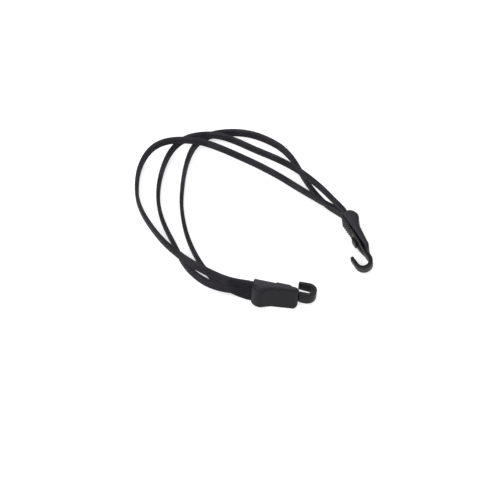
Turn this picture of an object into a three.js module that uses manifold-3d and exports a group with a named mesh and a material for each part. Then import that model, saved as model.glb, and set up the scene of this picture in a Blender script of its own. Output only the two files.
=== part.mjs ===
// Three-strap elastic luggage bungee: two moulded end fittings with J hooks, joined by three flat straps.
// Millimetres, +Z up. The bungee lies in a loop on a level surface with its straps standing on edge.
// In a fitting's frame x runs from the strap mouth to the hook, y out of the thumb pad, z across the width.
import * as THREE from "three";
import { mergeVertices } from "three/addons/utils/BufferGeometryUtils.js";
import Module from "manifold-3d";

// Driving sizes
const STRAP_WIDTH = 7.9;
const STRAP_THICKNESS = 3.5;
const SLEEVE_WALL = 0.6;
const COVER_LENGTH = 45.2;
const CREST_HEIGHT = 12.9;
const PAD_HEIGHT = 7.1;
const PAD_END_HEIGHT = 4.8;
const HOOK_REACH = 61.6;
const HOOK_GAP = 10.6;
const HOOK_THICKNESS = 4.1;
const HOOK_WIDTH = 12.2;
const TIP_WIDTH = 9;
const TIP_RETURN = 10.2;
const FERRULE_DIAMETER = 5.4;
const MOUTH_SWING = 5;

// Fits and walls
const GAP = 0.3;
const SIDE_WALL = 1.2;
const SHELL_WALL = 1.8;
const PLATE_THICKNESS = 1.4;
const HOOK_RISE = 1.3;
const SEAT_RISE = 1.2;
const SLIT_DEPTH = 1.2;
const RAIL_INSET = 1.6;
const RAIL_WIDTH = 5.2;
const LATCH_WIDTH = 11;
const LATCH_THICKNESS = 2.2;
const BARB_DEPTH = 2.4;
const EDGE_BEVEL = 0.6;
const SHOULDER = 2.6;
const RIB_COUNT = 7;
const RIB_PITCH = 2.7;
const RIB_HEIGHT = 0.6;

// Sizes that follow from the ones above
const STRAP_PITCH = STRAP_WIDTH + GAP;
const FITTING_WIDTH = 3 * STRAP_WIDTH + 2 * GAP + 2 * (SIDE_WALL + GAP);
const INNER_WIDTH = FITTING_WIDTH - 2 * SIDE_WALL;
const FERRULE_RADIUS = FERRULE_DIAMETER / 2;
const PIVOT = new THREE.Vector2(FERRULE_RADIUS + 4.8, FERRULE_RADIUS + SEAT_RISE);
const BLOCK_END = PIVOT.x + FERRULE_RADIUS + 4.6;
const SHANK_FRONT = HOOK_RISE - GAP;
const SHANK_BACK = SHANK_FRONT - HOOK_THICKNESS;
const RAIL_HALF = FITTING_WIDTH / 2 - RAIL_INSET;
const WINDOW_HALF = LATCH_WIDTH / 2 + 2 * GAP;
const WINDOW_START = COVER_LENGTH - 16.7;
const WINDOW_END = COVER_LENGTH - 5.4;
const EXIT_LENGTH = 7;

// Where each fitting lies: its strap mouth, its heading and how far its top leans into the loop
const NEAR = { x: -58.3, y: -32.5, heading: -13.3, lean: 14.5, padSide: -1 };
const FAR = { x: 31.8, y: 46.1, heading: -60.3, lean: 8, padSide: 1 };

// Strap routes: x, y, height of the strap's middle, and the lean of its top into the loop in degrees
const OUTER_ROUTE = [
  [-75.8, -31.1, 21.7, 22],
  [-90.5, -25.6, 21.1, 27],
  [-105.2, -17.1, 20.3, 24],
  [-120.1, -7.1, 18.7, 18],
  [-133.2, 4.7, 16.5, 10],
  [-145.6, 17.6, 13.9, 4],
  [-159.4, 37.9, 9.7, 0],
  [-170.1, 57.9, 6.4, 0],
  [-175.9, 75.1, 4.6, 0],
  [-177.1, 88.5, 4.3, 0],
  [-176.3, 106.6, 5.6, 0],
  [-170.6, 121.7, 9.9, 0],
  [-160.3, 132.3, 15.5, 0],
  [-145.8, 136.6, 19.2, -1],
  [-129.3, 137.3, 19.7, -2],
  [-112.9, 136.5, 18.3, -3],
  [-92.2, 130.8, 14.6, -3],
  [-71.6, 122.4, 11, -3],
  [-51, 112.5, 8.7, -3],
  [-30.6, 99.9, 8, -2],
  [-10.4, 84.1, 9.3, 0],
  [4.5, 72.4, 11.4, 2],
  [17.3, 62.3, 13.2, 4],
];
const MIDDLE_ROUTE = [
  [-75.9, -35, 13.8, 21],
  [-90.3, -31.4, 12.4, 26],
  [-103.4, -25.4, 10.6, 22],
  [-115.4, -15.3, 8.6, 14],
  [-126.6, -1.4, 6.7, 6],
  [-134, 14.7, 5.3, 0],
  [-140.4, 28.5, 4.5, 0],
  [-147.9, 45, 4.2, 0],
  [-153.1, 62.2, 4.2, 0],
  [-155.1, 78.9, 4.2, 0],
  [-154, 98, 4.7, 0],
  [-150.4, 113.9, 6.6, 0],
  [-144, 128.9, 9.3, -1],
  [-134.9, 139.7, 11.8, -2],
  [-123.6, 145.6, 13.2, -3],
  [-109.1, 148, 13.4, -4],
  [-93.5, 147.6, 12.9, -4],
  [-76.9, 142.1, 11.3, -4],
  [-56.1, 131.7, 10, -3],
  [-35.5, 121.5, 10, -2],
  [-15.2, 107.5, 12.2, 0],
  [-0.3, 92.6, 15.5, 2],
  [14.4, 74.8, 19.4, 3],
  [23.9, 61.1, 21.7, 5],
];
const INNER_ROUTE = [
  [-75, -32.2, 4.9, 12],
  [-87.6, -25.4, 4.7, 6],
  [-100.7, -14.2, 4.3, 2],
  [-109.8, -1.2, 4.2, 0],
  [-118.3, 15.4, 4.2, 0],
  [-124.4, 31.6, 4.2, 0],
  [-128.7, 50.3, 4.2, 0],
  [-131, 69.3, 4.2, 0],
  [-130.7, 86.2, 4.2, 0],
  [-128.9, 106.9, 4.2, 0],
  [-125.8, 122.9, 4.2, -2],
  [-121.2, 136.6, 4.3, -4],
  [-113.5, 147.5, 4.4, -7],
  [-102.1, 154.3, 4.4, -9],
  [-87.5, 157, 4.4, -11],
  [-71.8, 157.2, 4.4, -11],
  [-56.1, 153.8, 4.4, -11],
  [-42.5, 147.3, 4.4, -9],
  [-30.1, 139.4, 4.4, -7],
  [-20.9, 129.1, 4.3, -4],
  [-13.8, 118, 4.2, -1],
  [-6.8, 102.6, 4.2, 1],
  [0.1, 89.7, 4.3, 3],
  [8, 78.1, 4.5, 4],
  [18.8, 64.9, 5, 5],
];

// Each strap with its slot at the two mouths, counted upward from the middle one
const STRAPS = [
  { name: "strap_outer", route: OUTER_ROUTE, nearSlot: 1, farSlot: 0 },
  { name: "strap_middle", route: MIDDLE_ROUTE, nearSlot: 0, farSlot: 1 },
  { name: "strap_inner", route: INNER_ROUTE, nearSlot: -1, farSlot: -1 },
];

const HOOK_PLASTIC = new THREE.MeshStandardMaterial({ color: 0x2e2d2f, roughness: 0.5 });
const COVER_PLASTIC = new THREE.MeshStandardMaterial({ color: 0x333133, roughness: 0.5 });
const WOVEN = new THREE.MeshStandardMaterial({ color: 0x343236, roughness: 0.9 });
const RUBBER = new THREE.MeshStandardMaterial({ color: 0x8a7a62, roughness: 0.8 });
const STEEL = new THREE.MeshStandardMaterial({ color: 0xb4b6b8, roughness: 0.35, metalness: 1 });

const wasm = await Module();
wasm.setup();

function toSolid(geometry) {
  const bare = new THREE.BufferGeometry();
  const flat = geometry.index ? geometry.toNonIndexed() : geometry;
  bare.setAttribute("position", flat.getAttribute("position"));
  const merged = mergeVertices(bare, 1e-4);
  const mesh = new wasm.Mesh({
    numProp: 3,
    vertProperties: new Float32Array(merged.attributes.position.array),
    triVerts: new Uint32Array(merged.index.array),
  });
  return new wasm.Manifold(mesh);
}

function toGeometry(solid) {
  const mesh = solid.getMesh();
  const geometry = new THREE.BufferGeometry();
  const positions = [];
  for (let i = 0; i < mesh.numVert; i += 1) {
    const at = i * mesh.numProp;
    positions.push(mesh.vertProperties[at], mesh.vertProperties[at + 1], mesh.vertProperties[at + 2]);
  }
  geometry.setAttribute("position", new THREE.Float32BufferAttribute(positions, 3));
  geometry.setIndex([...mesh.triVerts]);
  const faceted = geometry.toNonIndexed();
  faceted.computeVertexNormals();
  return faceted;
}

function outline(points) {
  return new THREE.Shape(points.map(([x, y]) => new THREE.Vector2(x, y)));
}

// A side profile in x and y, spread evenly across the width
function across(profile, width, bevel = 0) {
  const shape = Array.isArray(profile) ? outline(profile) : profile;
  const geometry = new THREE.ExtrudeGeometry(shape, {
    depth: width - 2 * bevel,
    bevelEnabled: bevel > 0,
    bevelThickness: bevel,
    bevelSize: bevel,
    bevelOffset: -bevel,
    bevelSegments: 1,
    curveSegments: 10,
  });
  return geometry.translate(0, 0, -width / 2 + bevel);
}

// A plan outline in x and z, running down from a level in y
function below(shape, level, depth) {
  const geometry = new THREE.ExtrudeGeometry(shape, { depth, bevelEnabled: false, curveSegments: 5 });
  return geometry.rotateX(Math.PI / 2).translate(0, level, 0);
}

// An end view in z and y, drawn out along x
function along(profile, start, stop) {
  const geometry = new THREE.ExtrudeGeometry(outline(profile), { depth: stop - start, bevelEnabled: false });
  return geometry.rotateY(Math.PI / 2).translate(start, 0, 0);
}

function block(x0, x1, y0, y1, z0, z1) {
  const geometry = new THREE.BoxGeometry(x1 - x0, y1 - y0, z1 - z0);
  return geometry.translate((x0 + x1) / 2, (y0 + y1) / 2, (z0 + z1) / 2);
}

// Plan outline with round corners, smaller at the strap mouth
function coverPlan() {
  const half = FITTING_WIDTH / 2;
  const round = 5;
  const small = 1.8;
  const shape = new THREE.Shape();
  shape.absarc(small, -half + small, small, Math.PI, 1.5 * Math.PI, false);
  shape.lineTo(COVER_LENGTH - round, -half);
  shape.absarc(COVER_LENGTH - round, -half + round, round, -Math.PI / 2, 0, false);
  shape.lineTo(COVER_LENGTH, half - round);
  shape.absarc(COVER_LENGTH - round, half - round, round, 0, Math.PI / 2, false);
  shape.absarc(small, half - small, small, Math.PI / 2, Math.PI, false);
  shape.closePath();
  return shape;
}

// End view of the cover with the crest's shoulders taken off
function shoulders() {
  const half = FITTING_WIDTH / 2;
  const right = [
    [half + 1, -1],
    [half + 1, CREST_HEIGHT - SHOULDER - 1],
    [half, CREST_HEIGHT - SHOULDER],
    [half - 0.3 * SHOULDER, CREST_HEIGHT - 0.3 * SHOULDER],
    [half - SHOULDER, CREST_HEIGHT + 0.1],
  ];
  const left = right.map(([z, y]) => [-z, y]).reverse();
  return right.concat(left);
}

// Snap latch of the cover: a blade through the frame's window with a barb behind the crossbar
function snapLatch() {
  const front = WINDOW_START + GAP;
  const barb = SHANK_BACK - GAP;
  const profile = [
    [front, barb],
    [front - 3.8, barb],
    [front - 3.8, barb - 0.8],
    [front - 2.6, barb - BARB_DEPTH],
    [front + 4.2, barb - BARB_DEPTH],
    [front + 4.2, barb - 0.6],
    [front + LATCH_THICKNESS, barb - 0.2],
    [front + LATCH_THICKNESS, PAD_END_HEIGHT - 0.2],
    [front, PAD_END_HEIGHT - 0.2],
  ];
  return toSolid(across(profile, LATCH_WIDTH));
}

// Thumb cover: a wedge with a grip crest over the ferrules, hollow toward the hook
function coverGeometry() {
  const crest = CREST_HEIGHT;
  const outer = [
    [0, 0],
    [COVER_LENGTH, 0],
    [COVER_LENGTH - 0.2, PAD_END_HEIGHT - 2.6],
    [COVER_LENGTH - 1.2, PAD_END_HEIGHT - 1.2],
    [COVER_LENGTH - 3.2, PAD_END_HEIGHT - 0.4],
    [COVER_LENGTH - 7, PAD_END_HEIGHT],
    [BLOCK_END + 10, PAD_HEIGHT - 0.4],
    [BLOCK_END + 5, PAD_HEIGHT + 0.3],
    [BLOCK_END + 2, PAD_HEIGHT + 1.7],
    [BLOCK_END - 0.8, crest - 2.1],
    [BLOCK_END - 3.4, crest - 0.5],
    [BLOCK_END - 6.2, crest],
    [BLOCK_END - 8.6, crest - 0.4],
    [3.6, crest - 1.5],
    [0.2, crest - 4.4],
  ];
  const inner = [
    [BLOCK_END, -1],
    [COVER_LENGTH - SHELL_WALL, -1],
    [COVER_LENGTH - SHELL_WALL, SHANK_FRONT + 2 * GAP],
    [COVER_LENGTH - 7, PAD_END_HEIGHT - SHELL_WALL],
    [BLOCK_END + 5, PAD_HEIGHT - SHELL_WALL],
    [BLOCK_END, PAD_HEIGHT - SHELL_WALL + 0.8],
  ];
  const notch = [
    [COVER_LENGTH - SHELL_WALL - 1, -1],
    [COVER_LENGTH + 1, -1],
    [COVER_LENGTH + 1, SHANK_FRONT + GAP],
    [COVER_LENGTH - SHELL_WALL - 1, SHANK_FRONT + GAP],
  ];
  const flare = Math.tan(THREE.MathUtils.degToRad(MOUTH_SWING));
  const rise = STRAP_THICKNESS / 2 + GAP;
  const mouth = [
    [-1, -1],
    [PIVOT.x, -1],
    [PIVOT.x, PIVOT.y + rise],
    [-1, PIVOT.y + rise + (PIVOT.x + 1) * flare],
  ];
  const socket = new THREE.Shape();
  const clear = FERRULE_RADIUS + GAP;
  socket.moveTo(PIVOT.x - clear, -1);
  socket.lineTo(PIVOT.x + clear, -1);
  socket.lineTo(PIVOT.x + clear, PIVOT.y);
  socket.absarc(PIVOT.x, PIVOT.y, clear, 0, Math.PI, false);
  socket.closePath();
  let solid = toSolid(across(outer, FITTING_WIDTH, EDGE_BEVEL));
  solid = solid.intersect(toSolid(along(shoulders(), -1, COVER_LENGTH + 1)));
  solid = solid.intersect(toSolid(below(coverPlan(), CREST_HEIGHT + 2, CREST_HEIGHT + 4)));
  solid = solid.subtract(toSolid(across(inner, FITTING_WIDTH - 2 * SHELL_WALL)));
  solid = solid.subtract(toSolid(across(notch, HOOK_WIDTH + 2 * GAP)));
  solid = solid.subtract(toSolid(across(mouth, INNER_WIDTH)));
  solid = solid.subtract(toSolid(across(socket, INNER_WIDTH)));
  return toGeometry(solid.add(snapLatch()));
}

// Side view of the hook: shank, round bight and a thinner arm back to the rounded tip
function hookProfile() {
  const inside = HOOK_GAP / 2;
  const centreX = HOOK_REACH - inside - HOOK_THICKNESS;
  const centreY = SHANK_BACK - inside;
  const arm = HOOK_THICKNESS * 0.82;
  const tipX = centreX - TIP_RETURN + 1.1;
  const shape = new THREE.Shape();
  shape.moveTo(COVER_LENGTH - 5, SHANK_BACK);
  shape.lineTo(centreX, SHANK_BACK);
  shape.absarc(centreX, centreY, inside, Math.PI / 2, -Math.PI / 2, true);
  shape.lineTo(tipX, centreY - inside - 0.4);
  shape.lineTo(tipX - 1.1, centreY - inside - 1.3);
  shape.lineTo(tipX - 1.1, centreY - inside - arm + 0.4);
  shape.lineTo(tipX, centreY - inside - arm - 0.4);
  shape.lineTo(centreX, centreY - inside - HOOK_THICKNESS);
  shape.absarc(centreX, centreY, inside + HOOK_THICKNESS, -Math.PI / 2, Math.PI / 2, false);
  shape.lineTo(COVER_LENGTH - 5, SHANK_FRONT);
  shape.closePath();
  return shape;
}

// Back frame: strap-end plate, two side rails round a window, and the root of the hook
function framePlan() {
  const half = RAIL_HALF;
  const root = HOOK_WIDTH / 2;
  const shape = new THREE.Shape();
  shape.moveTo(0.6, -half);
  shape.lineTo(COVER_LENGTH - 10, -half);
  shape.lineTo(COVER_LENGTH - 3.4, -root - 2);
  shape.lineTo(COVER_LENGTH - 0.6, -root);
  shape.lineTo(COVER_LENGTH - 0.6, root);
  shape.lineTo(COVER_LENGTH - 3.4, root + 2);
  shape.lineTo(COVER_LENGTH - 10, half);
  shape.lineTo(0.6, half);
  shape.closePath();
  const window = new THREE.Path();
  window.moveTo(WINDOW_START, -WINDOW_HALF);
  window.lineTo(WINDOW_START, WINDOW_HALF);
  window.lineTo(WINDOW_END, WINDOW_HALF - 1);
  window.lineTo(WINDOW_END, -WINDOW_HALF + 1);
  window.closePath();
  shape.holes.push(window);
  return shape;
}

// Hook and back frame in one moulding, with a seat under the ferrules and grip ribs behind it
function hookGeometry() {
  const hook = across(hookProfile(), HOOK_WIDTH, 0.7);
  const points = hook.getAttribute("position");
  for (let i = 0; i < points.count; i += 1) {
    const depth = THREE.MathUtils.clamp((SHANK_BACK - points.getY(i)) / (HOOK_GAP + 3), 0, 1);
    points.setZ(i, points.getZ(i) * THREE.MathUtils.lerp(1, TIP_WIDTH / HOOK_WIDTH, depth));
  }
  let solid = toSolid(below(framePlan(), -GAP, -SHANK_BACK - GAP));
  const seatEnd = PIVOT.x + FERRULE_RADIUS;
  solid = solid.add(toSolid(block(0.6, seatEnd, -GAP - 0.2, SEAT_RISE - GAP, -RAIL_HALF, RAIL_HALF)));
  const plateBack = -GAP - PLATE_THICKNESS;
  const relief = [
    [0, plateBack],
    [WINDOW_START - 7.5, plateBack],
    [WINDOW_START - 5, SHANK_BACK - 1],
    [0, SHANK_BACK - 1],
  ];
  solid = solid.subtract(toSolid(across(relief, FITTING_WIDTH + 2)));
  for (const side of [-1, 1]) {
    const edges = [side * (RAIL_HALF - RAIL_WIDTH), side * (RAIL_HALF + 2)].sort((a, b) => a - b);
    const slit = block(BLOCK_END - 1, COVER_LENGTH - 4, -SLIT_DEPTH, 1, edges[0], edges[1]);
    solid = solid.subtract(toSolid(slit));
  }
  for (let i = 0; i < RIB_COUNT; i += 1) {
    const x = 2.6 + i * RIB_PITCH;
    const rib = [
      [x - 0.9, plateBack + 0.2],
      [x - 0.3, plateBack - RIB_HEIGHT],
      [x + 0.3, plateBack - RIB_HEIGHT],
      [x + 0.9, plateBack + 0.2],
    ];
    solid = solid.add(toSolid(across(rib, 2 * RAIL_HALF - 2)));
  }
  return toGeometry(solid.add(toSolid(hook)));
}

// Ferrule: a barrel with a slot that grips the end of one strap
function ferruleGeometry() {
  const slot = STRAP_THICKNESS / 2 + GAP;
  const open = Math.PI - Math.asin(slot / FERRULE_RADIUS);
  const shape = new THREE.Shape();
  shape.absarc(PIVOT.x, PIVOT.y, FERRULE_RADIUS, -open, open, false);
  shape.lineTo(PIVOT.x + 0.9, PIVOT.y + slot);
  shape.lineTo(PIVOT.x + 0.9, PIVOT.y - slot);
  shape.closePath();
  return across(shape, STRAP_WIDTH - 0.4);
}

// A fitting's frame on the surface, with x along it, y out of its pad and its lowest edge at height zero
function fittingFrame(place) {
  const heading = THREE.MathUtils.degToRad(place.heading);
  const lean = THREE.MathUtils.degToRad(place.lean);
  const along = new THREE.Vector3(Math.cos(heading), Math.sin(heading), 0);
  const level = new THREE.Vector3(-Math.sin(heading), Math.cos(heading), 0).multiplyScalar(place.padSide);
  const pad = level.clone().multiplyScalar(Math.cos(lean));
  pad.z = Math.sin(lean);
  const wide = along.clone().cross(pad);
  const coverDrop = (FITTING_WIDTH / 2) * Math.cos(lean) - EDGE_BEVEL * Math.sin(lean);
  const railDrop = RAIL_HALF * Math.cos(lean) - SHANK_BACK * Math.sin(lean);
  const height = Math.max(coverDrop, railDrop);
  return new THREE.Matrix4().makeBasis(along, pad, wide).setPosition(place.x, place.y, height);
}

// Points of a strap inside a fitting and just outside its mouth, from the ferrule outward
function strapEnd(place, slot) {
  const matrix = fittingFrame(place);
  const z = slot * STRAP_PITCH * place.padSide;
  const stations = [PIVOT.x + 0.5, 0, -EXIT_LENGTH];
  return stations.map((x) => new THREE.Vector3(x, PIVOT.y, z).applyMatrix4(matrix));
}

// Cross-section frames along a strap, two to each stretch between route points
function strapFrames(strap) {
  const start = strapEnd(NEAR, strap.nearSlot);
  const finish = strapEnd(FAR, strap.farSlot).reverse();
  const free = strap.route.map(([x, y, z]) => new THREE.Vector3(x, y, z));
  const leans = strap.route.map((point) => point[3]);
  const points = [...start, ...free, ...finish];
  const tilt = [NEAR.lean, NEAR.lean, NEAR.lean, ...leans, FAR.lean, FAR.lean, FAR.lean];
  const curve = new THREE.CatmullRomCurve3(points, false, "centripetal");
  const steps = (points.length - 1) * 2;
  const frames = [];
  for (let i = 0; i <= steps; i += 1) {
    const at = curve.getPoint(i / steps);
    const along = curve.getTangent(i / steps);
    const before = Math.floor(i / 2);
    const after = Math.min(before + (i % 2), points.length - 1);
    const lean = THREE.MathUtils.degToRad((tilt[before] + tilt[after]) / 2);
    const upright = new THREE.Vector3(0, 0, 1).addScaledVector(along, -along.z).normalize();
    const inward = along.clone().cross(upright);
    const up = upright.multiplyScalar(Math.cos(lean)).addScaledVector(inward, Math.sin(lean));
    frames.push({ at, up, outward: up.clone().cross(along) });
  }
  return frames;
}

// A straight extrusion of a strap's section, bent along its frames
function bendAlong(shape, frames) {
  const steps = frames.length - 1;
  const geometry = new THREE.ExtrudeGeometry(shape, { depth: 1, steps, bevelEnabled: false });
  const points = geometry.getAttribute("position");
  for (let i = 0; i < points.count; i += 1) {
    const frame = frames[Math.round(points.getZ(i) * steps)];
    const moved = frame.at.clone();
    moved.addScaledVector(frame.outward, points.getX(i)).addScaledVector(frame.up, points.getY(i));
    points.setXYZ(i, moved.x, moved.y, moved.z);
  }
  geometry.computeVertexNormals();
  return geometry;
}

function rectangle(path, thickness, width, corner = 0) {
  const x = thickness / 2;
  const y = width / 2;
  path.moveTo(x, -y + corner);
  path.lineTo(x, y - corner);
  if (corner > 0) path.lineTo(x - corner, y);
  path.lineTo(-x + corner, y);
  if (corner > 0) path.lineTo(-x, y - corner);
  path.lineTo(-x, -y + corner);
  if (corner > 0) path.lineTo(-x + corner, -y);
  path.lineTo(x - corner, -y);
  path.closePath();
  return path;
}

function sleeveSection() {
  const shape = rectangle(new THREE.Shape(), STRAP_THICKNESS, STRAP_WIDTH, 0.8);
  const bore = rectangle(new THREE.Path(), STRAP_THICKNESS - 2 * SLEEVE_WALL, STRAP_WIDTH - 2 * SLEEVE_WALL);
  shape.holes.push(bore);
  return shape;
}

function coreSection() {
  const off = 2 * (SLEEVE_WALL + GAP);
  return rectangle(new THREE.Shape(), STRAP_THICKNESS - off, STRAP_WIDTH - off);
}

const bungee = new THREE.Group();
bungee.name = "luggage_bungee";

function addPiece(name, geometry, material, matrix) {
  const mesh = new THREE.Mesh(geometry, material);
  mesh.name = name;
  if (matrix) mesh.applyMatrix4(matrix);
  bungee.add(mesh);
}

const cover = coverGeometry();
const hook = hookGeometry();
const ferrule = ferruleGeometry();
for (const [end, place] of [["near", NEAR], ["far", FAR]]) {
  const matrix = fittingFrame(place);
  addPiece(`${end}_hook`, hook, HOOK_PLASTIC, matrix);
  addPiece(`${end}_cover`, cover, COVER_PLASTIC, matrix);
  for (const strap of STRAPS) {
    const slot = end === "near" ? strap.nearSlot : strap.farSlot;
    const shifted = matrix.clone().multiply(
      new THREE.Matrix4().makeTranslation(0, 0, slot * STRAP_PITCH * place.padSide),
    );
    addPiece(`${end}_ferrule_${strap.name.slice(6)}`, ferrule, STEEL, shifted);
  }
}
for (const strap of STRAPS) {
  const frames = strapFrames(strap);
  addPiece(`${strap.name}_sleeve`, bendAlong(sleeveSection(), frames), WOVEN);
  addPiece(`${strap.name}_core`, bendAlong(coreSection(), frames), RUBBER);
}

export default bungee;
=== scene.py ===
"""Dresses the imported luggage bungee: woven flat straps, moulded thumb covers, hooks and strap ferrules."""
import math
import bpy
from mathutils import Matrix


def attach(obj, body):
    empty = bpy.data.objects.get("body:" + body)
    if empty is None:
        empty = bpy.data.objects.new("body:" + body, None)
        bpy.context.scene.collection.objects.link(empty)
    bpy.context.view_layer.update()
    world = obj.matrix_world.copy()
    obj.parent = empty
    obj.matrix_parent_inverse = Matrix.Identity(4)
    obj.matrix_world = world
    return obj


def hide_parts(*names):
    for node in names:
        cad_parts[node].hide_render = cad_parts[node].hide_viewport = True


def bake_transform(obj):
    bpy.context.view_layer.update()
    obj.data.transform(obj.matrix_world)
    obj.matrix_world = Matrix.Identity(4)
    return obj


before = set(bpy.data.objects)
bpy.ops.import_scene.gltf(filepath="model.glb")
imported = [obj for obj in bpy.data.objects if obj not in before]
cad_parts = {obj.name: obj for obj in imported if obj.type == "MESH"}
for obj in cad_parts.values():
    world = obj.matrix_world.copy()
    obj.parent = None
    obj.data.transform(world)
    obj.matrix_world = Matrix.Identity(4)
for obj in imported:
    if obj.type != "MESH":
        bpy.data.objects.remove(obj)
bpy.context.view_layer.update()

from types import SimpleNamespace

import bmesh
import bpy
from bpy.props import FloatProperty, FloatVectorProperty, IntProperty, PointerProperty
from mathutils import Matrix, Vector

bl_info = {
    "name": "Luggage Bungee",
    "version": (1, 0, 0),
    "blender": (4, 5, 0),
    "location": "View3D > Sidebar > Bungee",
    "description": "Dresses a flat-strap luggage bungee with woven straps and moulded end fittings",
    "category": "Object",
}

MM = 0.001

# Straps in metres: length at each end that isn't evened out, rounding and crown of the section
HELD_LENGTH = 0.014
SELVEDGE_RADIUS = 0.0006
FACE_CROWN = 0.00008

# Curve of a strap: samples between two route points, and passes that even it out
SAMPLES = 12
SMOOTHING_PASSES = 40

# Weave: name of its map, threads round a strap, and how much they show beside the ribs
WEAVE_MAP = "strap"
THREADS_AROUND = 26
THREAD_SHARE = 0.35

# Strap mouth in millimetres: stations of a strap from inside to outside, its level, and the ferrule socket
MOUTH_STATIONS = (8, 0, -7)
STRAP_LEVEL = 3.9
SOCKET_AT = 7.5
SOCKET_RADIUS = 3

# Walls and widths of a fitting in millimetres
GAP = 0.3
SIDE_WALL = 1.2
SHELL_WALL = 1.8
EDGE_BEVEL = 0.6
RAIL_INSET = 1.6
RAIL_WIDTH = 5.2
LATCH_HALF = 5.5
LATCH_THICKNESS = 2.2
LATCH_BEVEL = 0.3
BARB_DEPTH = 2.4
RIB_START = 2.6
RIB_PITCH = 2.7

# Latch window's start before the cover's end, and levels from the seam of cover and frame, in millimetres
WINDOW_REACH = 16.7
SHANK_FRONT = 1
PLATE_BACK = -1.7
CROSSBAR_BACK = -3.05
RAIL_BACK = -3.1

# Cover in millimetres: corners in plan, inset of its foot, lip of the mouth, extra rounding of the crest,
# largest share of the height that a shoulder takes, and the fine border groove
END_CORNER = 5
MOUTH_CORNER = 1.8
FOOT_INSET = 0.3
MOUTH_LIP = 0.9
CREST_ROUNDING = 2.2
CREST_FADE = (11, 19)
SHOULDER_SHARE = 0.6
BORDER_DEPTH = 0.32
BORDER_FADE_IN = (6, 10)
BORDER_FADE_OUT = (-5, -2.5)

# Hook in millimetres: stations and neck of the shank past the cover, roundings and edge groove
SHANK_STATIONS = (-5, -2, 0, 0.3, 1.1, 1.4, 3, 4.5)
NECK_SPAN = (0.2, 1.2)
NECK_DEPTH = 0.9
HOOK_ROUND = 0.75
TIP_ROUND = 1.2
EDGE_GROOVE = 0.5
SHANK_GROOVE_FADE = (0, 3)
ARM_SPREAD = 0.1

# Shares of the hook: where its groove ends, loss of thickness to the tip, part of it reached by the bight
TIP_GROOVE_FADE = (0.85, 0.97)
ARM_TAPER = 0.18
BIGHT_SHARE = 0.75

# Steps along the bight, the arm and the round tip
BIGHT_STEPS = 28
ARM_STEPS = 8
TIP_STEPS = 4

# Angles in degrees below which faces are shaded smooth
STRAP_SMOOTH = 50
COVER_SMOOTH = 40
HOOK_SMOOTH = 38
PLAIN_SMOOTH = 30

# Studio: half width of the floor in metres, camera sensor in millimetres
FLOOR_HALF = 3
SENSOR_WIDTH = 36

# Area lights of the studio: place and size in metres, power in watts
LIGHTS = {
    "key": ((-0.55, -0.35, 1.1), 0.9, 13),
    "fill": ((0.8, -0.5, 0.9), 1.0, 4),
    "back": ((0.1, 1.0, 0.8), 0.9, 7.5),
}

# Where each fitting lies: its strap mouth in millimetres, its heading and its lean in degrees
PLACES = {
    "near": {"x": -58.3, "y": -32.5, "heading": -13.3, "lean": 14.5, "pad_side": -1},
    "far": {"x": 31.8, "y": 46.1, "heading": -60.3, "lean": 8, "pad_side": 1},
}

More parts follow.
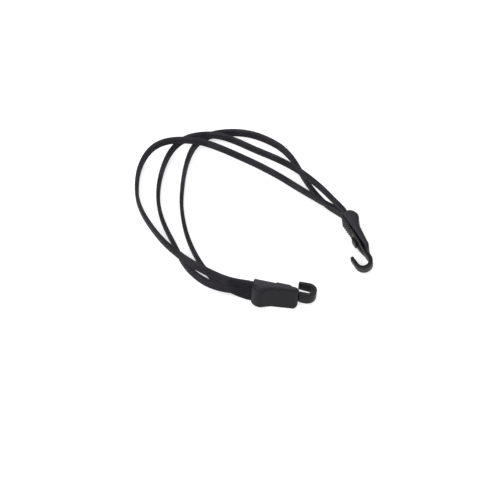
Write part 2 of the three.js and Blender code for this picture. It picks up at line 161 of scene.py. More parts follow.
# Strap routes in metres, with the lean of the strap's top into the loop in degrees
ROUTES = {
    "strap_outer": [
        (-0.0758, -0.0311, 0.0217, 22),
        (-0.0905, -0.0256, 0.0211, 27),
        (-0.1052, -0.0171, 0.0203, 24),
        (-0.1201, -0.0071, 0.0187, 18),
        (-0.1332, 0.0047, 0.0165, 10),
        (-0.1456, 0.0176, 0.0139, 4),
        (-0.1594, 0.0379, 0.0097, 0),
        (-0.1701, 0.0579, 0.0064, 0),
        (-0.1759, 0.0751, 0.0046, 0),
        (-0.1771, 0.0885, 0.0043, 0),
        (-0.1763, 0.1066, 0.0056, 0),
        (-0.1706, 0.1217, 0.0099, 0),
        (-0.1603, 0.1323, 0.0155, 0),
        (-0.1458, 0.1366, 0.0192, -1),
        (-0.1293, 0.1373, 0.0197, -2),
        (-0.1129, 0.1365, 0.0183, -3),
        (-0.0922, 0.1308, 0.0146, -3),
        (-0.0716, 0.1224, 0.011, -3),
        (-0.051, 0.1125, 0.0087, -3),
        (-0.0306, 0.0999, 0.008, -2),
        (-0.0104, 0.0841, 0.0093, 0),
        (0.0045, 0.0724, 0.0114, 2),
        (0.0173, 0.0623, 0.0132, 4),
    ],
    "strap_middle": [
        (-0.0759, -0.035, 0.0138, 21),
        (-0.0903, -0.0314, 0.0124, 26),
        (-0.1034, -0.0254, 0.0106, 22),
        (-0.1154, -0.0153, 0.0086, 14),
        (-0.1266, -0.0014, 0.0067, 6),
        (-0.134, 0.0147, 0.0053, 0),
        (-0.1404, 0.0285, 0.0045, 0),
        (-0.1479, 0.045, 0.0042, 0),
        (-0.1531, 0.0622, 0.0042, 0),
        (-0.1551, 0.0789, 0.0042, 0),
        (-0.154, 0.098, 0.0047, 0),
        (-0.1504, 0.1139, 0.0066, 0),
        (-0.144, 0.1289, 0.0093, -1),
        (-0.1349, 0.1397, 0.0118, -2),
        (-0.1236, 0.1456, 0.0132, -3),
        (-0.1091, 0.148, 0.0134, -4),
        (-0.0935, 0.1476, 0.0129, -4),
        (-0.0769, 0.1421, 0.0113, -4),
        (-0.0561, 0.1317, 0.01, -3),
        (-0.0355, 0.1215, 0.01, -2),
        (-0.0152, 0.1075, 0.0122, 0),
        (-0.0003, 0.0926, 0.0155, 2),
        (0.0144, 0.0748, 0.0194, 3),
        (0.0239, 0.0611, 0.0217, 5),
    ],
    "strap_inner": [
        (-0.075, -0.0322, 0.0049, 12),
        (-0.0876, -0.0254, 0.0047, 6),
        (-0.1007, -0.0142, 0.0043, 2),
        (-0.1098, -0.0012, 0.0042, 0),
        (-0.1183, 0.0154, 0.0042, 0),
        (-0.1244, 0.0316, 0.0042, 0),
        (-0.1287, 0.0503, 0.0042, 0),
        (-0.131, 0.0693, 0.0042, 0),
        (-0.1307, 0.0862, 0.0042, 0),
        (-0.1289, 0.1069, 0.0042, 0),
        (-0.1258, 0.1229, 0.0042, -2),
        (-0.1212, 0.1366, 0.0043, -4),
        (-0.1135, 0.1475, 0.0044, -7),
        (-0.1021, 0.1543, 0.0044, -9),
        (-0.0875, 0.157, 0.0044, -11),
        (-0.0718, 0.1572, 0.0044, -11),
        (-0.0561, 0.1538, 0.0044, -11),
        (-0.0425, 0.1473, 0.0044, -9),
        (-0.0301, 0.1394, 0.0044, -7),
        (-0.0209, 0.1291, 0.0043, -4),
        (-0.0138, 0.118, 0.0042, -1),
        (-0.0068, 0.1026, 0.0042, 1),
        (0.0001, 0.0897, 0.0043, 3),
        (0.008, 0.0781, 0.0045, 4),
        (0.0188, 0.0649, 0.005, 5),
    ],
}

# Slot of each strap at the near and the far mouth, counted upward from the middle one
SLOTS = {"strap_outer": (1, 0), "strap_middle": (0, 1), "strap_inner": (-1, -1)}


class BungeeStrapSettings(bpy.types.PropertyGroup):
    """Sizes and colour of the woven straps"""

    width: FloatProperty(name="Width", description="Width of a strap", default=0.0079, unit="LENGTH")
    thickness: FloatProperty(
        name="Thickness", description="Thickness over the weave", default=0.0038, unit="LENGTH"
    )
    pitch: FloatProperty(
        name="Pitch", description="Height from one strap to the next", default=0.0082, unit="LENGTH"
    )
    step: FloatProperty(name="Step", description="Length between two rings", default=0.0014, unit="LENGTH")
    rib: FloatProperty(name="Rib", description="Pitch of the crosswise ribs", default=0.0011, unit="LENGTH")
    colour: FloatVectorProperty(
        name="Colour", description="Yarn colour", subtype="COLOR", size=3, default=(0.0136, 0.0125, 0.0163)
    )


class BungeeFittingSettings(bpy.types.PropertyGroup):
    """Sizes and colours of the end fittings"""

    width: FloatProperty(name="Width", description="Width across the straps", default=0.0273, unit="LENGTH")
    cover: FloatProperty(name="Cover", description="Length of the cover", default=0.0452, unit="LENGTH")
    crest: FloatProperty(name="Crest", description="Height of the grip crest", default=0.0129, unit="LENGTH")
    pad: FloatProperty(name="Pad", description="Height behind the crest", default=0.0071, unit="LENGTH")
    pad_end: FloatProperty(name="Pad end", description="Height at the hook", default=0.0048, unit="LENGTH")
    edge: FloatProperty(name="Edge", description="Rounding of the sides", default=0.0015, unit="LENGTH")
    reach: FloatProperty(name="Reach", description="Length from mouth to hook", default=0.0616, unit="LENGTH")
    gap: FloatProperty(name="Gap", description="Clear width inside the hook", default=0.0106, unit="LENGTH")
    thick: FloatProperty(name="Thickness", description="Thickness of the hook", default=0.0041, unit="LENGTH")
    root: FloatProperty(name="Root", description="Width of the hook's shank", default=0.0122, unit="LENGTH")
    tip: FloatProperty(name="Tip", description="Width of the hook's tip", default=0.009, unit="LENGTH")
    back: FloatProperty(name="Arm", description="Length behind the bight", default=0.0102, unit="LENGTH")
    ribs: IntProperty(name="Ribs", description="Grip ribs on the back plate", default=7)
    cover_colour: FloatVectorProperty(
        name="Cover colour",
        description="Colour of the cover",
        subtype="COLOR",
        size=3,
        default=(0.0100, 0.0095, 0.0125),
    )
    hook_colour: FloatVectorProperty(
        name="Hook colour",
        description="Colour of the hook",
        subtype="COLOR",
        size=3,
        default=(0.0078, 0.0077, 0.0087),
    )


class BungeeStageSettings(bpy.types.PropertyGroup):
    """Camera and light of the studio"""

    elevation: FloatProperty(
        name="Elevation", description="Camera height angle", subtype="ANGLE", default=math.radians(60)
    )
    distance: FloatProperty(name="Distance", description="Camera distance", default=1.4, unit="LENGTH")
    lens: FloatProperty(name="Lens", description="Focal length", default=100.8, subtype="DISTANCE_CAMERA")
    target: FloatVectorProperty(
        name="Target",
        description="Point in the middle of the picture",
        subtype="TRANSLATION",
        size=3,
        default=(-0.0613, 0.0178, 0.0),
    )
    floor: FloatVectorProperty(
        name="Floor", description="Floor colour", subtype="COLOR", size=3, default=(0.5, 0.5, 0.5)
    )
    glow: FloatProperty(name="Floor glow", description="Light the floor adds for the camera", default=0.6)
    ambient: FloatProperty(name="Ambient", description="Strength of the light from all round", default=0.4)


def feed(tree, socket, value):
    """Feeds an input with another node's output or with a plain value"""
    if isinstance(value, bpy.types.NodeSocket):
        tree.links.new(value, socket)
    else:
        socket.default_value = value


def set_inputs(tree, made, **inputs):
    """Feeds a node's inputs by name"""
    for key, value in inputs.items():
        feed(tree, made.inputs[key.replace("_", " ")], value)
    return made


def node(tree, kind, **inputs):
    """Adds a shader node and feeds its inputs"""
    return set_inputs(tree, tree.nodes.new(kind), **inputs)


def compute(tree, operation, *values):
    """Result of a maths node on other nodes' outputs or plain values"""
    made = tree.nodes.new("ShaderNodeMath")
    made.operation = operation
    for socket, value in zip(made.inputs, values):
        feed(tree, socket, value)
    return made.outputs["Value"]


def range_map(tree, value, low, high, start=0):
    """Maps a value between start and 1 onto a range"""
    made = node(tree, "ShaderNodeMapRange", Value=value, From_Min=start, To_Min=low, To_Max=high)
    return made.outputs["Result"]


def stripes(tree, source, count):
    """Even stripes from 0 to 1, that many to a unit of the source"""
    wave = compute(tree, "SINE", compute(tree, "MULTIPLY", source, count * math.tau))
    return range_map(tree, wave, 0, 1, start=-1)


def noise(tree, **inputs):
    """Noise on a piece's own coordinates"""
    coordinates = tree.nodes.new("ShaderNodeTexCoord")
    made = node(tree, "ShaderNodeTexNoise", Vector=coordinates.outputs["Object"], **inputs)
    return made.outputs["Fac"]


def ramp(tree, factor, low, high):
    """Colour between two stops, each a position and a colour"""
    made = node(tree, "ShaderNodeValToRGB", Fac=factor)
    for stop, (position, colour) in zip(made.color_ramp.elements, (low, high)):
        stop.position = position
        stop.color = (*colour, 1)
    return made.outputs["Color"]


def mixed(tree, blend, factor, first, second):
    """Two colours mixed"""
    made = tree.nodes.new("ShaderNodeMix")
    made.data_type = "RGBA"
    made.blend_type = blend
    set_inputs(tree, made, Factor=factor, A=first, B=second)
    return made.outputs["Result"]


def shade(colour, factor):
    """A lighter or darker shade of a colour"""
    return tuple(min(1.0, c * factor) for c in colour)


def paler_edges(tree, body, pale):
    """A colour that turns paler along the sharp edges of a piece"""
    geometry = tree.nodes.new("ShaderNodeNewGeometry")
    sharp = ramp(tree, geometry.outputs["Pointiness"], (0.515, (0, 0, 0)), (0.6, (1, 1, 1)))
    return mixed(tree, "MIX", sharp, body, (*pale, 1))


def blank_material(name):
    """A material with a bare Principled shader"""
    material = bpy.data.materials.new(name)
    material.use_nodes = True
    tree = material.node_tree
    return material, tree, tree.nodes["Principled BSDF"]


def woven_sleeve_material(name, strap):
    """Braided elastic: crosswise ribs, fine lengthwise threads, looser paler selvedges with painted
    highlight, soft sheen
    """
    material, tree, bsdf = blank_material(name)
    uv = tree.nodes.new("ShaderNodeUVMap")
    uv.uv_map = WEAVE_MAP
    split = node(tree, "ShaderNodeSeparateXYZ", Vector=uv.outputs["UV"])
    ribs = stripes(tree, split.outputs["X"], 1 / strap.rib)
    threads = stripes(tree, split.outputs["Y"], THREADS_AROUND)
    weave = compute(tree, "MULTIPLY_ADD", threads, THREAD_SHARE, ribs)
    fuzz = noise(tree, Scale=1400, Detail=3, Roughness=0.6)
    drift = noise(tree, Scale=45, Detail=2)
    yarn = ramp(tree, weave, (0.1, shade(strap.colour, 0.62)), (1.0, shade(strap.colour, 1.3)))
    tone = ramp(tree, drift, (0.36, (0.6, 0.6, 0.64)), (0.66, (1.6, 1.55, 1.55)))
    body = mixed(tree, "MULTIPLY", 1, yarn, tone)
    rib_bump = node(tree, "ShaderNodeBump", Strength=0.8, Distance=0.00022, Height=weave)
    fuzz_bump = node(tree, "ShaderNodeBump", Strength=0.35, Distance=0.0001, Height=fuzz)
    set_inputs(tree, fuzz_bump, Normal=rib_bump.outputs["Normal"])
    set_inputs(
        tree,
        bsdf,
        # Selvedges painted paler along the sharp edges: partly looser yarn, partly a painted highlight where
        # the edges catch the light
        Base_Color=paler_edges(tree, body, shade(strap.colour, 4.5)),
        Roughness=range_map(tree, fuzz, 0.72, 0.95),
        Sheen_Weight=0.1,
        Sheen_Roughness=0.4,
        Specular_IOR_Level=0.18,
        Normal=fuzz_bump.outputs["Normal"],
    )
    return material


def moulded_plastic_material(name, colour, grain, roughness):
    """Satin black moulding with a fine spark-eroded grain, faint flow marks and paler worn edges"""
    material, tree, bsdf = blank_material(name)
    fine = noise(tree, Scale=grain, Detail=4, Roughness=0.65)
    flow = noise(tree, Scale=60, Detail=3, Distortion=0.8)
    body = ramp(tree, flow, (0.3, shade(colour, 0.85)), (0.72, shade(colour, 1.15)))
    bump = node(tree, "ShaderNodeBump", Strength=0.3, Distance=0.00008, Height=fine)
    set_inputs(
        tree,
        bsdf,
        Base_Color=paler_edges(tree, body, shade(colour, 2.6)),
        Roughness=range_map(tree, fine, roughness - 0.07, roughness + 0.09),
        Specular_IOR_Level=0.18,
        Normal=bump.outputs["Normal"],
    )
    return material


def plated_steel_material(name):
    """Zinc-plated steel with a faint brushed cloud"""
    material, tree, bsdf = blank_material(name)
    cloud = noise(tree, Scale=500, Detail=4)
    bump = node(tree, "ShaderNodeBump", Strength=0.2, Distance=0.00005, Height=cloud)
    set_inputs(
        tree,
        bsdf,
        Base_Color=ramp(tree, cloud, (0.3, (0.40, 0.41, 0.42)), (0.7, (0.52, 0.53, 0.54))),
        Roughness=range_map(tree, cloud, 0.28, 0.45),
        Metallic=1,
        Normal=bump.outputs["Normal"],
    )
    return material


def floor_material(name, colour, glow):
    """White sweep that reads as white in the picture and keeps the soft shadow"""
    material, tree, bsdf = blank_material(name)
    set_inputs(tree, bsdf, Base_Color=(*colour, 1), Roughness=0.9, Specular_IOR_Level=0.1)
    path = tree.nodes.new("ShaderNodeLightPath")
    seen = path.outputs["Is Camera Ray"]
    for ray in ("Is Glossy Ray", "Is Transmission Ray"):
        seen = compute(tree, "MAXIMUM", seen, path.outputs[ray])
    strength = compute(tree, "MULTIPLY", seen, glow)
    emission = node(tree, "ShaderNodeEmission", Color=(1, 1, 1, 1), Strength=strength)
    both = tree.nodes.new("ShaderNodeAddShader")
    feed(tree, both.inputs[0], bsdf.outputs["BSDF"])
    feed(tree, both.inputs[1], emission.outputs["Emission"])
    set_inputs(tree, tree.nodes["Material Output"], Surface=both.outputs["Shader"])
    return material


def material_named(name, make, *values, **settings):
    """The material of that name, made on first use"""
    return bpy.data.materials.get(name) or make(name, *values, **settings)


def millimetres(fitting):
    """The lengths of a fitting in millimetres"""
    names = "width cover crest pad pad_end edge reach gap thick root tip back".split()
    return SimpleNamespace(**{name: getattr(fitting, name) / MM for name in names})


def fitting_matrix(place, width):
    """Maps a fitting's own frame, in millimetres, to metres: x to the hook, y out of the pad, z across"""
    heading = math.radians(place["heading"])
    lean = math.radians(place["lean"])
    along = Vector((math.cos(heading), math.sin(heading), 0))
    pad = Vector((-math.sin(heading), math.cos(heading), 0)) * place["pad_side"] * math.cos(lean)
    pad.z = math.sin(lean)
    wide = along.cross(pad)
    cover_drop = width / 2 * math.cos(lean) - EDGE_BEVEL * math.sin(lean)
    rail_drop = (width / 2 - RAIL_INSET) * math.cos(lean) - RAIL_BACK * math.sin(lean)
    matrix = Matrix((along, pad, wide)).transposed().to_4x4()
    matrix.translation = Vector((place["x"], place["y"], max(cover_drop, rail_drop)))
    return Matrix.Scale(MM, 4) @ matrix


def smooth(mesh, angle):
    """Shades a mesh smooth below an angle in degrees"""
    mesh.shade_smooth()
    mesh.set_sharp_from_angle(angle=math.radians(angle))


def piece_from(bm, name, material, smooth_angle=PLAIN_SMOOTH):
    """Turns a bmesh into a linked object, smooth below an angle"""
    bmesh.ops.recalc_face_normals(bm, faces=bm.faces)
    mesh = bpy.data.meshes.new(name)
    bm.to_mesh(mesh)
    bm.free()
    piece = bpy.data.objects.new(name, mesh)
    bpy.context.scene.collection.objects.link(piece)
    mesh.materials.append(material)
    smooth(mesh, smooth_angle)
    return piece


def loft(bm, rings):
    """Joins closed rings of points into a capped tube"""
    made = [[bm.verts.new(point) for point in ring] for ring in rings]
    for first, second in zip(made, made[1:]):
        for i in range(len(first)):
            j = (i + 1) % len(first)
            bm.faces.new((first[i], first[j], second[j], second[i]))
    bm.faces.new(made[0])
    bm.faces.new(list(reversed(made[-1])))
    return made


def prism(bm, outline, low, high, axis, bevel):
    """A bevelled prism: an outline in x and z rising in y, or in x and y spread along z"""

    def spot(point, level):
        return (point[0], level, point[1]) if axis == "y" else (point[0], point[1], level)

    part = bmesh.new()
    loft(part, [[spot(point, level) for point in outline] for level in (low, high)])
    bmesh.ops.recalc_face_normals(part, faces=part.faces)
    if bevel:
        bmesh.ops.bevel(
            part,
            geom=part.edges[:],
            offset=bevel,
            segments=2,
            profile=0.7,
            affect="EDGES",
            clamp_overlap=True,
        )
    mesh = bpy.data.meshes.new("part")
    part.to_mesh(mesh)
    part.free()
    bm.from_mesh(mesh)
    bpy.data.meshes.remove(mesh)


def quarter_arc(x, y, radius, steps, turn=0):
    """Points on a quarter circle round a centre, begun that many quarter turns on"""
    angles = [math.pi / 2 * (turn + k / steps) for k in range(steps + 1)]
    return [(x + radius * math.cos(angle), y + radius * math.sin(angle)) for angle in angles]


def fade(value, low, high):
    """Rises smoothly from 0 to 1 between two values"""
    t = min(max((value - low) / (high - low), 0), 1)
    return t * t * (3 - 2 * t)


def catmull_rom(points, per_stretch):
    """Centripetal curve through points, sampled evenly within each stretch"""
    ends = [points[0] * 2 - points[1], *points, points[-1] * 2 - points[-2]]
    samples = []
    for i in range(len(points) - 1):
        p0, p1, p2, p3 = ends[i : i + 4]
        d0, d1, d2 = (math.sqrt((b - a).length) for a, b in ((p0, p1), (p1, p2), (p2, p3)))
        t1 = ((p1 - p0) / d0 - (p2 - p0) / (d0 + d1) + (p2 - p1) / d1) * d1
        t2 = ((p2 - p1) / d1 - (p3 - p1) / (d1 + d2) + (p3 - p2) / d2) * d1
        for k in range(per_stretch):
            t = k / per_stretch
            samples.append(
                p1 + t1 * t + (p2 * 3 - p1 * 3 - t1 * 2 - t2) * t**2 + (p1 * 2 - p2 * 2 + t1 + t2) * t**3
            )
    return [*samples, points[-1].copy()]


def even_samples(dense, step):
    """Samples of a line at even lengths, near the step asked for"""
    lengths = [0.0]
    for a, b in zip(dense, dense[1:]):
        lengths.append(lengths[-1] + (b - a).xyz.length)
    count = round(lengths[-1] / step)
    even = []
    at = 0
    for i in range(count + 1):
        want = lengths[-1] * i / count
        while at < len(dense) - 2 and lengths[at + 1] < want:
            at += 1
        share = (want - lengths[at]) / (lengths[at + 1] - lengths[at])
        even.append(dense[at].lerp(dense[at + 1], min(max(share, 0), 1)))
    return even


def evened_out(points, held):
    """A line with its bends evened out, apart from the points held at each end"""
    for _ in range(SMOOTHING_PASSES):
        moved = [point.copy() for point in points]
        for i in range(held, len(points) - held):
            moved[i] = points[i] * 0.5 + (points[i - 1] + points[i + 1]) * 0.25
        points = moved
    return points


def mouth_points(end, slot, strap, fitting):
    """Middle of a strap from inside a mouth to just outside it, with its lean as a fourth number"""
    place = PLACES[end]
    matrix = fitting_matrix(place, fitting.width / MM)
    across = slot * strap.pitch / MM * place["pad_side"]
    points = [matrix @ Vector((x, STRAP_LEVEL, across)) for x in MOUTH_STATIONS]
    return [Vector((*point, place["lean"] * MM)) for point in points]


def strap_line(name, strap, fitting):
    """Even samples of a strap's middle line and its lean, from the near ferrule to the far one"""
    near_slot, far_slot = SLOTS[name]
    near = mouth_points("near", near_slot, strap, fitting)
    far = mouth_points("far", far_slot, strap, fitting)
    route = [Vector((x, y, z, lean * MM)) for x, y, z, lean in ROUTES[name]]
    dense = catmull_rom([*near, *route, *reversed(far)], SAMPLES)
    line = evened_out(even_samples(dense, strap.step), round(HELD_LENGTH / strap.step))
    return [point.xyz for point in line], [math.radians(point.w / MM) for point in line]


def strap_section(strap):
    """Flat section with round selvedges and slightly crowned faces: offsets outward and upward"""
    x, y, r = strap.thickness / 2, strap.width / 2, SELVEDGE_RADIUS
    quarter = quarter_arc(x - r, y - r, r, 4)
    face = [(x + FACE_CROWN * (1 - (t / 3) ** 2), (y - r) * t / 3) for t in (-2, -1, 0, 1, 2)]
    top = [(-a, b) for a, b in reversed(quarter)]
    bottom = [(-a, -b) for a, b in quarter]
    last = [(a, -b) for a, b in reversed(quarter)]
    return [*face, *quarter, *top, *[(-a, -b) for a, b in face], *bottom, *last]


def strap_rings(line, leans, section):
    """Sections of a strap along its middle line, upright apart from their lean"""
    rings = []
    for i, at in enumerate(line):
        along = (line[min(i + 1, len(line) - 1)] - line[max(i - 1, 0)]).normalized()
        upright = (Vector((0, 0, 1)) - along * along.z).normalized()
        up = upright * math.cos(leans[i]) + along.cross(upright) * math.sin(leans[i])
        outward = up.cross(along)
        rings.append([at + outward * x + up * y for x, y in section])
    return rings


def map_weave(bm, rings, step):
    """Lays the weave's map on a strap: metres along it, and the share of the way round it"""
    layer = bm.loops.layers.uv.new(WEAVE_MAP)
    around = len(rings[0])
    spots = {vertex: (i, k) for i, ring in enumerate(rings) for k, vertex in enumerate(ring)}
    for face in bm.faces:
        corners = [spots[loop.vert] for loop in face.loops]
        wraps = {0, around - 1} <= {k for _, k in corners}
        for loop, (i, k) in zip(face.loops, corners):
            turn = around if wraps and k == 0 else k
            loop[layer].uv = (i * step, turn / around)


class BUNGEE_OT_straps(bpy.types.Operator):
    """Three flat woven straps, laid along their routes from one fitting to the other"""

    bl_idname = "bungee.straps"
    bl_label = "Woven straps"

    def execute(self, context):
        strap, fitting = context.scene.bungee_strap, context.scene.bungee_fitting
        weave = material_named("woven_yarn", woven_sleeve_material, strap)
        section = strap_section(strap)
        for name in ROUTES:
            line, leans = strap_line(name, strap, fitting)
            bm = bmesh.new()
            rings = loft(bm, strap_rings(line, leans, section))
            map_weave(bm, rings, strap.step)
            piece = piece_from(bm, name + "_weave", weave, STRAP_SMOOTH)
            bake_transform(piece)
            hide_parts(name + "_sleeve", name + "_core")
        return {"FINISHED"}


def cover_top(s, size):
    """Height of the cover at one place: strap-end slope, grip crest, drop, flat pad, thin hook end"""
    crest, pad, pad_end, end = size.crest, size.pad, size.pad_end, size.cover
    profile = [
        (0, crest - 4.6),
        (3.6, crest - 1.5),
        (6.2, crest - 0.4),
        (8.6, crest),
        (11.4, crest - 0.5),
        (14, crest - 2.1),
        (16.8, pad + 1.7),
        (19.8, pad + 0.3),
        (24.8, pad - 0.4),
        (end - 7, pad_end),
        (end - 3.2, pad_end - 0.4),
        (end - 1.2, pad_end - 1.2),
        (end, pad_end - 2.8),
    ]
    last = len(profile) - 1
    i = next(k for k in range(last) if s <= profile[k + 1][0] or k == last - 1)
    (x0, y0), (x1, y1) = profile[i : i + 2]
    before, after = profile[max(i - 1, 0)], profile[min(i + 2, last)]
    slope0 = (y1 - before[1]) / (x1 - before[0])
    slope1 = (after[1] - y0) / (after[0] - x0)
    t, h = (s - x0) / (x1 - x0), x1 - x0
    return (
        y0 * (2 * t**3 - 3 * t**2 + 1)
        + h * slope0 * (t**3 - 2 * t**2 + t)
        + y1 * (3 * t**2 - 2 * t**3)
        + h * slope1 * (t**3 - t**2)
    )


def corner_loss(radius, reach):
    """Width lost at a round corner in plan, that far past the start of its arc"""
    return radius - math.sqrt(max(radius**2 - max(reach, 0) ** 2, 0))


def cover_ring(s, inset, size):
    """Section of the cover at one place: side walls, round shoulders and a pad inside a border groove"""
    end = size.cover
    half = size.width / 2 - corner_loss(END_CORNER, s - end + END_CORNER)
    half -= corner_loss(MOUTH_CORNER, MOUTH_CORNER - s) + inset
    top = cover_top(s, size) - inset
    r = min(size.edge + CREST_ROUNDING * (1 - fade(s, *CREST_FADE)), top * SHOULDER_SHARE)
    groove = BORDER_DEPTH * fade(s, *BORDER_FADE_IN) * (1 - fade(s - end, *BORDER_FADE_OUT))
    rim = half - r
    border = [(rim - 0.25, top), (rim - 0.6, top - groove), (rim - 1.0, top - groove * 0.35)]
    pad = [((rim - 1.4) * t / 5, top - groove * 0.25) for t in range(5, -6, -1)]
    side = [(half - min(inset, FOOT_INSET), 0), *quarter_arc(rim, top - r, r, 6), *border]
    ring = [*side, *pad, *[(-z, y) for z, y in reversed(side)]]
    return [Vector((s, y, z)) for z, y in ring]


def cover_stations(size):
    """Places along the cover with the inset of its end edges there"""
    end, corner = size.cover, size.cover - END_CORNER
    body, body_steps = corner - 0.3 - MOUTH_LIP, 60
    arc, arc_steps = END_CORNER - 0.1, 8
    stations = [(0, 0.4), (0.12, 0.2), (0.35, 0.07), (MOUTH_LIP, 0)]
    stations += [(MOUTH_LIP + body * k / body_steps, 0) for k in range(1, body_steps + 1)]
    stations += [(corner + arc * math.sin(math.pi / 2 * k / arc_steps), 0) for k in range(1, arc_steps + 1)]
    return [*stations, (end - 0.03, 0.25), (end, 0.6)]


def cover_cuts(size):
    """Outlines cut from the cover, with their half widths: strap mouth and socket, hollow, hook notch"""
    end, half, pad = size.cover, size.width / 2, size.pad
    mouth = [
        (-1, -1),
        (SOCKET_AT + SOCKET_RADIUS, -1),
        *quarter_arc(SOCKET_AT, STRAP_LEVEL, SOCKET_RADIUS, 3),
        (6.3, 6.65),
        (5.5, 6.13),
        (-1, 6.69),
    ]
    hollow = [
        (14.8, -1),
        (end - SHELL_WALL, -1),
        (end - SHELL_WALL, 1.6),
        (end - 7, 3),
        (19.8, pad - SHELL_WALL),
        (14.8, pad - 1),
    ]
    notch = [(end - 2.8, -1), (end + 1, -1), (end + 1, 1.3), (end - 2.8, 1.3)]
    return (mouth, half - SIDE_WALL), (hollow, half - SHELL_WALL), (notch, size.root / 2 + GAP)


def latch_outline(size):
    """Side view of the snap latch: a leg through the window with a barb behind the crossbar"""
    foot = size.cover - WINDOW_REACH + GAP
    barb = RAIL_BACK - GAP
    return [
        (foot, barb),
        (foot - 3.8, barb),
        (foot - 3.8, barb - 0.8),
        (foot - 2.6, barb - BARB_DEPTH),
        (foot + 4.2, barb - BARB_DEPTH),
        (foot + 4.2, barb - 0.6),
        (foot + LATCH_THICKNESS, barb - 0.2),
        (foot + LATCH_THICKNESS, 4.6),
        (foot, 4.6),
    ]


def cut(piece, cutter):
    """Cuts one piece out of another and removes the cutter"""
    modifier = piece.modifiers.new("cut", "BOOLEAN")
    modifier.operation = "DIFFERENCE"
    modifier.solver = "EXACT"
    modifier.object = cutter
    bpy.context.view_layer.update()
    evaluated = piece.evaluated_get(bpy.context.evaluated_depsgraph_get())
    mesh = bpy.data.meshes.new_from_object(evaluated)
    piece.modifiers.remove(modifier)
    old = piece.data
    piece.data = mesh
    mesh.name = piece.name
    bpy.data.meshes.remove(old)
    bpy.data.objects.remove(cutter)


class BUNGEE_OT_covers(bpy.types.Operator):
    """Thumb covers: a crested wedge with an open strap mouth, hollow inside, with a snap latch"""

    bl_idname = "bungee.covers"
    bl_label = "Thumb covers"

    def execute(self, context):
        fitting = context.scene.bungee_fitting
        size = millimetres(fitting)
        plastic = material_named(
            "satin_cover", moulded_plastic_material, fitting.cover_colour, grain=3200, roughness=0.5
        )
        for name, place in PLACES.items():
            bm = bmesh.new()
            loft(bm, [cover_ring(s, inset, size) for s, inset in cover_stations(size)])
            piece = piece_from(bm, name + "_cover_shell", plastic, COVER_SMOOTH)
            for outline, reach in cover_cuts(size):
                knife = bmesh.new()
                prism(knife, outline, -reach, reach, "z", 0)
                cut(piece, piece_from(knife, "knife", plastic))
            mesh = piece.data
            bm = bmesh.new()
            bm.from_mesh(mesh)
            prism(bm, latch_outline(size), -LATCH_HALF, LATCH_HALF, "z", LATCH_BEVEL)
            bm.to_mesh(mesh)
            bm.free()
            mesh.transform(fitting_matrix(place, size.width))
            smooth(mesh, COVER_SMOOTH)
            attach(piece, name + "_fitting")
            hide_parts(name + "_cover")
        return {"FINISHED"}


def hook_ring(at, normal, thickness, width, radius, groove=0):
    """Rounded section of the hook at one place, with a shallow groove along both edges"""
    flat, side = thickness / 2 - radius, width / 2 - radius
    lips = [(0.8, 0), (0.55, groove), (-0.55, groove), (-0.8, 0)]
    section = []
    for turn, (sx, sz) in enumerate(((1, 1), (-1, 1), (-1, -1), (1, -1))):
        section += quarter_arc(sx * flat, sz * side, radius, 4, turn)
        if sx == sz:
            section += [(sx * flat * share, sz * (width / 2 - depth)) for share, depth in lips]
    return [Vector((at[0] + normal[0] * x, at[1] + normal[1] * x, z)) for x, z in section]


def hook_spots(size):
    """Middle line of the J: each spot with its outward normal and its share of the way to the tip"""
    inside, thick = size.gap / 2, size.thick
    radius = inside + thick / 2
    x, y = size.reach - inside - thick, SHANK_FRONT - thick - inside
    spots = [((size.cover + past, y + radius), (0, 1), 0) for past in SHANK_STATIONS]
    for k in range(1, BIGHT_STEPS + 1):
        angle = math.pi / 2 - math.pi * k / BIGHT_STEPS
        normal = (math.cos(angle), math.sin(angle))
        spot = (x + radius * normal[0], y + radius * normal[1])
        spots.append((spot, normal, k / BIGHT_STEPS * BIGHT_SHARE))
    for k in range(1, ARM_STEPS + 1):
        share = k / ARM_STEPS
        spot = (x - (size.back - TIP_ROUND) * share, y - radius - ARM_SPREAD * share)
        spots.append((spot, (0, -1), BIGHT_SHARE + (1 - BIGHT_SHARE) * share))
    return spots


def hook_rings(size):
    """Sections of the J: straight shank with a neck, round bight, thinner arm and rounded tip"""
    spots = hook_spots(size)
    rings = []
    for (x, y), normal, share in spots:
        thickness = size.thick * (1 - ARM_TAPER * share)
        width = size.root + (size.tip - size.root) * share
        groove = EDGE_GROOVE * (1 - fade(share, *TIP_GROOVE_FADE))
        past = x - size.cover
        if share == 0:
            groove = EDGE_GROOVE * fade(past, *SHANK_GROOVE_FADE)
            if NECK_SPAN[0] < past < NECK_SPAN[1]:
                thickness -= NECK_DEPTH
                y -= NECK_DEPTH / 2
        rings.append(hook_ring((x, y), normal, thickness, width, HOOK_ROUND, groove))
    x, y = spots[-1][0]
    for k in range(1, TIP_STEPS + 1):
        angle = math.pi / 2 * k / TIP_STEPS
        shrink = TIP_ROUND * (1 - math.cos(angle))
        thickness, width = size.thick * (1 - ARM_TAPER) - 2 * shrink, size.tip - 2 * shrink
        spot = (x - TIP_ROUND * math.sin(angle), y)
        rings.append(hook_ring(spot, (0, -1), thickness, width, min(0.9, thickness * 0.45)))
    return rings


def slab(start, stop, reach):
    """Plan of a block that reaches equally far to both sides"""
    return [(start, -reach), (stop, -reach), (stop, reach), (start, reach)]


def rail_plan(size):
    """Plan of the two side rails round the latch window, drawn in to the shank"""
    end, half, root = size.cover, size.width / 2 - RAIL_INSET, size.root / 2
    start = end - WINDOW_REACH - 0.2
    outer = [(start, half), (end - 10, half), (end - 3.4, root + 2), (end - 0.6, root)]
    window = [(start, 6.1), (end - 5.4, 5.1)]
    right = [(x, -z) for x, z in outer]
    return [*right, *reversed(outer), *window, *[(x, -z) for x, z in reversed(window)]]


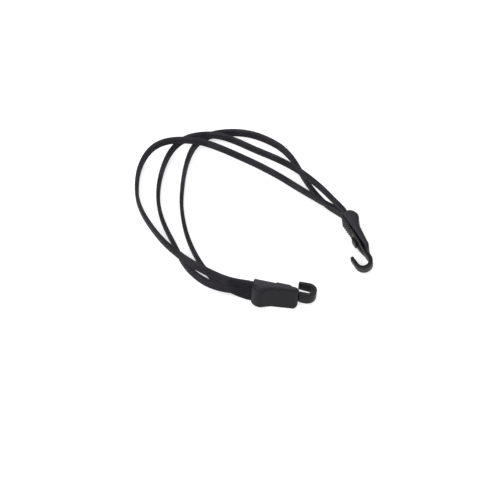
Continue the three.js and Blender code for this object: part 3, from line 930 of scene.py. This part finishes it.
def frame_blocks(size):
    """Blocks of the back frame: plan, lower and upper level, and bevel"""
    end, half, bar = size.cover, size.width / 2 - RAIL_INSET, size.cover - WINDOW_REACH
    return {
        "grip plate": (slab(0.6, 14, half), PLATE_BACK, -GAP, 0.35),
        "ferrule seat": (slab(0.8, 10.2, half), -0.5, 0.9, 0.2),
        "thin plate": (slab(13.5, bar - 6, half), -1.68, -1.2, 0.15),
        "spine": (slab(13.5, bar, half - RAIL_WIDTH), -1.5, -GAP, 0.2),
        "crossbar": (slab(bar - 5.6, bar, half), CROSSBAR_BACK, -1.2, 0.35),
        "side rails": (rail_plan(size), RAIL_BACK, -1.6, 0.4),
        "shank root": (slab(end - 4.4, end - 1, size.root / 2), -1.4, -GAP, 0.2),
    }


class BUNGEE_OT_hooks(bpy.types.Operator):
    """Hook mouldings: ribbed back plate, crossbar, two side rails round a window, and the J hook"""

    bl_idname = "bungee.hooks"
    bl_label = "Hook mouldings"

    def execute(self, context):
        fitting = context.scene.bungee_fitting
        size = millimetres(fitting)
        plastic = material_named(
            "satin_hook", moulded_plastic_material, fitting.hook_colour, grain=2600, roughness=0.46
        )
        half, bar = size.width / 2 - RAIL_INSET, size.cover - WINDOW_REACH
        slope = [
            (bar - 8.5, -0.9),
            (bar - 4.8, -0.9),
            (bar - 4.8, -3),
            (bar - 5.6, -3),
            (bar - 7.4, -1.65),
            (bar - 8.5, -1.65),
        ]
        for name, place in PLACES.items():
            bm = bmesh.new()
            for plan, low, high, bevel in frame_blocks(size).values():
                prism(bm, plan, low, high, "y", bevel)
            prism(bm, slope, -half, half, "z", 0.25)
            for i in range(fitting.ribs):
                x = RIB_START + i * RIB_PITCH
                rib = [(x - 0.9, -1.5), (x + 0.9, -1.5), (x + 0.45, -2.4), (x - 0.45, -2.4)]
                prism(bm, rib, 1 - half, half - 1, "z", 0.18)
            loft(bm, hook_rings(size))
            piece = piece_from(bm, name + "_hook_moulding", plastic, HOOK_SMOOTH)
            piece.data.transform(fitting_matrix(place, size.width))
            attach(piece, name + "_fitting")
            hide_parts(name + "_hook")
        return {"FINISHED"}


class BUNGEE_OT_ferrules(bpy.types.Operator):
    """Plated finish of the strap ferrules"""

    bl_idname = "bungee.ferrules"
    bl_label = "Strap ferrules"

    def execute(self, context):
        steel = material_named("zinc_plate", plated_steel_material)
        for name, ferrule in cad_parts.items():
            if "_ferrule_" in name:
                ferrule.data.materials.clear()
                ferrule.data.materials.append(steel)
        return {"FINISHED"}


class BUNGEE_OT_stage(bpy.types.Operator):
    """Camera, pale floor and soft studio light"""

    bl_idname = "bungee.stage"
    bl_label = "Studio"

    def execute(self, context):
        scene, stage = context.scene, context.scene.bungee_stage
        scene.view_settings.view_transform = "Standard"
        lens = bpy.data.cameras.new("camera")
        lens.lens = stage.lens
        lens.sensor_width = SENSOR_WIDTH
        camera = bpy.data.objects.new("camera", lens)
        target = Vector(stage.target)
        back = Vector((0, -math.cos(stage.elevation), math.sin(stage.elevation)))
        camera.location = target + back * stage.distance
        camera.rotation_euler = back.to_track_quat("Z", "Y").to_euler()
        scene.collection.objects.link(camera)
        scene.camera = camera
        bm = bmesh.new()
        bmesh.ops.create_grid(bm, x_segments=1, y_segments=1, size=FLOOR_HALF)
        floor = piece_from(bm, "floor", material_named("floor", floor_material, stage.floor, stage.glow))
        world = bpy.data.worlds.new("studio")
        world.use_nodes = True
        background = world.node_tree.nodes["Background"]
        set_inputs(world.node_tree, background, Color=(1, 1, 1, 1), Strength=stage.ambient)
        scene.world = world
        for name, (where, size, power) in LIGHTS.items():
            data = bpy.data.lights.new(name, "AREA")
            data.size = size
            data.energy = power
            lamp = bpy.data.objects.new(name, data)
            lamp.location = where
            lamp.rotation_euler = (Vector(where) - target).to_track_quat("Z", "Y").to_euler()
            scene.collection.objects.link(lamp)
        return {"FINISHED"}


class BUNGEE_PT_panel(bpy.types.Panel):
    """Sidebar panel with the bungee's sizes and steps"""

    bl_idname = "BUNGEE_PT_panel"
    bl_label = "Luggage Bungee"
    bl_space_type = "VIEW_3D"
    bl_region_type = "UI"
    bl_category = "Bungee"

    def draw(self, context):
        for group, kind in SETTINGS.items():
            box = self.layout.box()
            for name in kind.__annotations__:
                box.prop(getattr(context.scene, group), name)
        for step in STEPS:
            self.layout.operator(step.bl_idname)


SETTINGS = {
    "bungee_stage": BungeeStageSettings,
    "bungee_strap": BungeeStrapSettings,
    "bungee_fitting": BungeeFittingSettings,
}
STEPS = (BUNGEE_OT_stage, BUNGEE_OT_straps, BUNGEE_OT_covers, BUNGEE_OT_hooks, BUNGEE_OT_ferrules)


def register():
    """Adds the settings, steps and panel"""
    for kind in (*SETTINGS.values(), *STEPS, BUNGEE_PT_panel):
        bpy.utils.register_class(kind)
    for name, kind in SETTINGS.items():
        setattr(bpy.types.Scene, name, PointerProperty(type=kind))


def unregister():
    """Removes the settings, steps and panel"""
    for name in SETTINGS:
        delattr(bpy.types.Scene, name)
    for kind in reversed((*SETTINGS.values(), *STEPS, BUNGEE_PT_panel)):
        bpy.utils.unregister_class(kind)


def main():
    """Builds the studio and every piece"""
    register()
    bpy.ops.bungee.stage()
    bpy.ops.bungee.straps()
    bpy.ops.bungee.covers()
    bpy.ops.bungee.hooks()
    bpy.ops.bungee.ferrules()


if __name__ == "__main__":
    main()
